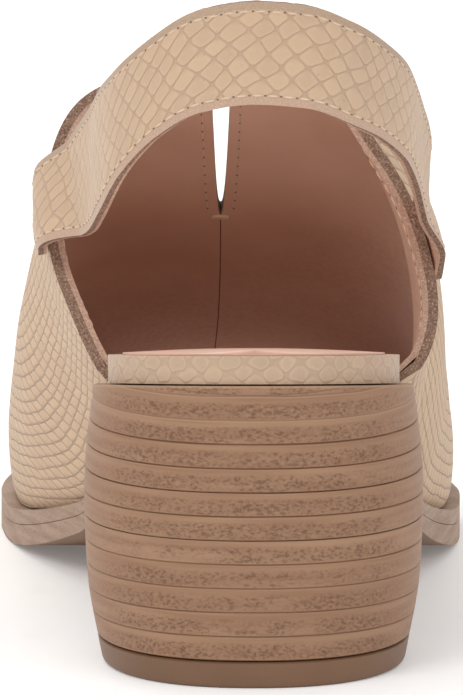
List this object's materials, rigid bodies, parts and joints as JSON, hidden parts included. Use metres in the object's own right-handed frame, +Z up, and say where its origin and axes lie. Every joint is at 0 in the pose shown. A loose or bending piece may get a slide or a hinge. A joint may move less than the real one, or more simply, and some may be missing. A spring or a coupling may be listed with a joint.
{
  "type": "block heel slingback sandal",
  "caption": "Right block heel slingback sandal: high scaled vamp with a slit, open back, sling strap, stacked heel and open toe.",
  "frame": {"origin": "on the floor, in the middle of the heel's resting face", "axes": "+Y to the toe, +Z up, +X to the outer side of the right foot"},
  "size_m": [0.0935, 0.236, 0.1307],
  "materials": {
    "outsole": "matt, edge stained like stacked leather",
    "midsole": "stained edge",
    "insole": "nubuck embossed with scales",
    "sock_lining": "smooth, matt",
    "heel_stack": "stacked layers, satin",
    "heel_top_piece": "smooth, matt",
    "upper": "nubuck embossed with scales, lined with reddish-brown leather",
    "sling_strap": "nubuck embossed with scales, raw edges, stitched"
  },
  "bodies": {
    "root": {"outsole": "outsole", "midsole": "midsole", "insole": "insole", "sock_lining": "sock_lining", "heel_stack": "heel_stack", "heel_top_piece": "heel_top_piece", "upper": "upper", "sling_strap": "sling_strap"}
  },
  "joints": []
}
